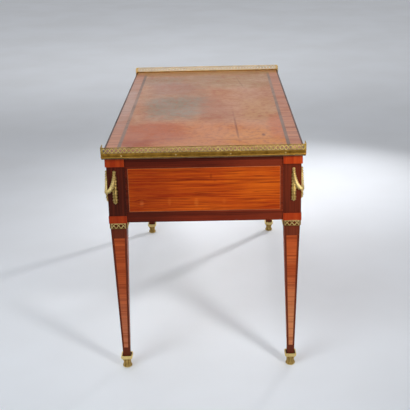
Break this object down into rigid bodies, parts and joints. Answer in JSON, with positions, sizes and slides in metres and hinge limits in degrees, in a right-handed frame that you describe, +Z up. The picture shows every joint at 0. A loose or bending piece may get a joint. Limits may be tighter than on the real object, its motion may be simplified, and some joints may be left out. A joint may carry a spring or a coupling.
{
  "type": "bureau plat",
  "caption": "Flat writing desk on square tapering legs with gilt mounts, pierced end galleries, a leather top, drawers with hinged ring pulls and a kneehole.",
  "frame": {"origin": "on the floor under the middle of the table", "axes": "+X along the length to the sitter's right, -Y towards the sitter, +Z up"},
  "size_m": [1.3566, 0.6316, 0.773],
  "materials": {
    "amaranth": "french polished dark veneer",
    "satinwood": "french polished warm veneer",
    "oak": "plain oak",
    "gilt_brass": "worn gilding",
    "leather": "worn waxed leather"
  },
  "bodies": {
    "carcase": {"leg_front_left": "amaranth", "sabot_front_left": "gilt_brass", "garland_front_left": "gilt_brass", "leg_front_right": "amaranth", "sabot_front_right": "gilt_brass", "garland_front_right": "gilt_brass", "leg_back_left": "amaranth", "sabot_back_left": "gilt_brass", "garland_back_left": "gilt_brass", "leg_back_right": "amaranth", "sabot_back_right": "gilt_brass", "garland_back_right": "gilt_brass", "leg_veneer_panels": "satinwood", "leg_cap_blocks": "satinwood", "leg_collars": "gilt_brass", "top_board": "oak", "top_edge_lippings": "amaranth", "top_crossbanding": "satinwood", "top_stringing": "amaranth", "leather_inset": "leather", "gallery_left": "gilt_brass", "gallery_band_left": "gilt_brass", "end_panel_left": "amaranth", "partition_left": "amaranth", "gallery_right": "gilt_brass", "gallery_band_right": "gilt_brass", "end_panel_right": "amaranth", "partition_right": "amaranth", "gallery_pins": "gilt_brass", "frieze_veneer_fields": "satinwood", "back_boards": "amaranth", "front_top_rail": "amaranth", "front_rails": "amaranth", "front_stiles": "amaranth", "drawer_runners": "oak"},
    "drawer_upper_left": {"drawer_upper_left_front": "amaranth", "drawer_upper_left_veneer": "satinwood", "drawer_upper_left_box": "oak", "drawer_upper_left_lock": "gilt_brass"},
    "ring_upper_left": {"drawer_upper_left_ring": "gilt_brass"},
    "drawer_lower_left": {"drawer_lower_left_front": "amaranth", "drawer_lower_left_veneer": "satinwood", "drawer_lower_left_box": "oak", "drawer_lower_left_lock": "gilt_brass"},
    "ring_lower_left": {"drawer_lower_left_ring": "gilt_brass"},
    "drawer_centre": {"drawer_centre_front": "amaranth", "drawer_centre_veneer": "satinwood", "drawer_centre_box": "oak", "drawer_centre_lock": "gilt_brass"},
    "ring_centre": {"drawer_centre_ring": "gilt_brass"},
    "drawer_upper_right": {"drawer_upper_right_front": "amaranth", "drawer_upper_right_veneer": "satinwood", "drawer_upper_right_box": "oak", "drawer_upper_right_lock": "gilt_brass"},
    "ring_upper_right": {"drawer_upper_right_ring": "gilt_brass"},
    "drawer_lower_right": {"drawer_lower_right_front": "amaranth", "drawer_lower_right_veneer": "satinwood", "drawer_lower_right_box": "oak", "drawer_lower_right_lock": "gilt_brass"},
    "ring_lower_right": {"drawer_lower_right_ring": "gilt_brass"}
  },
  "joints": [
    {"name": "slide_upper_left", "type": "slide", "parent": "carcase", "child": "drawer_upper_left", "axis": [0, -1, 0], "range_m": [0, 0.33]},
    {"name": "swing_upper_left", "type": "hinge", "parent": "drawer_upper_left", "child": "ring_upper_left", "pos_m": [-0.4545, -0.3075, 0.6905], "axis": [-1, 0, 0], "range_deg": [0, 90]},
    {"name": "slide_lower_left", "type": "slide", "parent": "carcase", "child": "drawer_lower_left", "axis": [0, -1, 0], "range_m": [0, 0.33]},
    {"name": "swing_lower_left", "type": "hinge", "parent": "drawer_lower_left", "child": "ring_lower_left", "pos_m": [-0.4545, -0.3075, 0.5965], "axis": [-1, 0, 0], "range_deg": [0, 90]},
    {"name": "slide_centre", "type": "slide", "parent": "carcase", "child": "drawer_centre", "axis": [0, -1, 0], "range_m": [0, 0.33]},
    {"name": "swing_centre", "type": "hinge", "parent": "drawer_centre", "child": "ring_centre", "pos_m": [0, -0.3075, 0.6905], "axis": [-1, 0, 0], "range_deg": [0, 90]},
    {"name": "slide_upper_right", "type": "slide", "parent": "carcase", "child": "drawer_upper_right", "axis": [0, -1, 0], "range_m": [0, 0.33]},
    {"name": "swing_upper_right", "type": "hinge", "parent": "drawer_upper_right", "child": "ring_upper_right", "pos_m": [0.4545, -0.3075, 0.6905], "axis": [-1, 0, 0], "range_deg": [0, 90]},
    {"name": "slide_lower_right", "type": "slide", "parent": "carcase", "child": "drawer_lower_right", "axis": [0, -1, 0], "range_m": [0, 0.33]},
    {"name": "swing_lower_right", "type": "hinge", "parent": "drawer_lower_right", "child": "ring_lower_right", "pos_m": [0.4545, -0.3075, 0.5965], "axis": [-1, 0, 0], "range_deg": [0, 90]}
  ]
}
